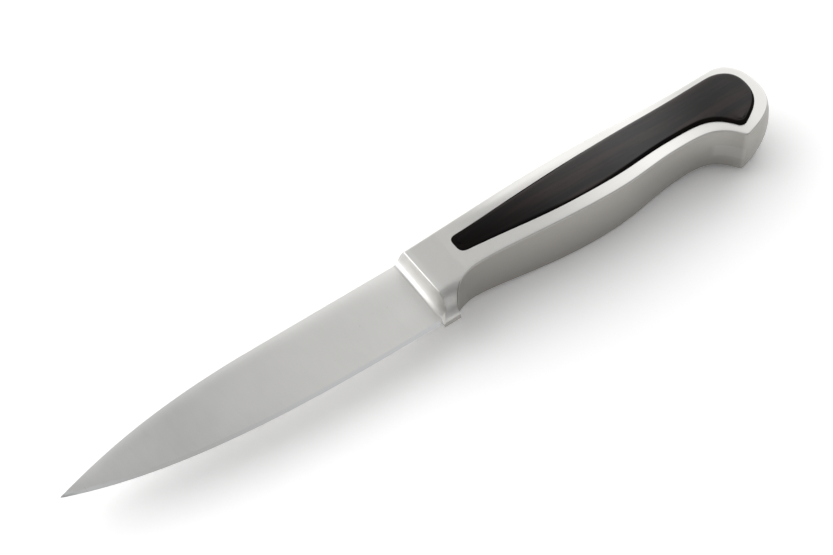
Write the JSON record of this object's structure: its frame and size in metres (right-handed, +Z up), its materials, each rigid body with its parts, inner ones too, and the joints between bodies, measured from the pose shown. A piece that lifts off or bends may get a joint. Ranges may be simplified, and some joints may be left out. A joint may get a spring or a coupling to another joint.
{
  "type": "kitchen knife",
  "caption": "Small forged kitchen knife with a pointed blade, a finger guard at the bolster, and a hooked all-steel handle with a dark wood inlay let into each side.",
  "frame": {"origin": "on the surface that the knife lies on, under the middle of its bounding box", "axes": "+X along the knife from the blade's tip towards the butt, +Y from the cutting edge towards the spine, +Z up out of the knife's left side"},
  "size_m": [0.2086, 0.0248, 0.018],
  "materials": {
    "blade_steel": "fine satin",
    "handle_steel": "soft satin",
    "inlay_wood": "oiled, dark, fine grained",
    "glue": "cured adhesive"
  },
  "bodies": {
    "root": {"blade_forging": "blade_steel", "handle_scale_left": "handle_steel", "handle_scale_right": "handle_steel", "inlay_left": "inlay_wood", "inlay_right": "inlay_wood", "inlay_glue_left": "glue", "inlay_glue_right": "glue"}
  },
  "joints": []
}
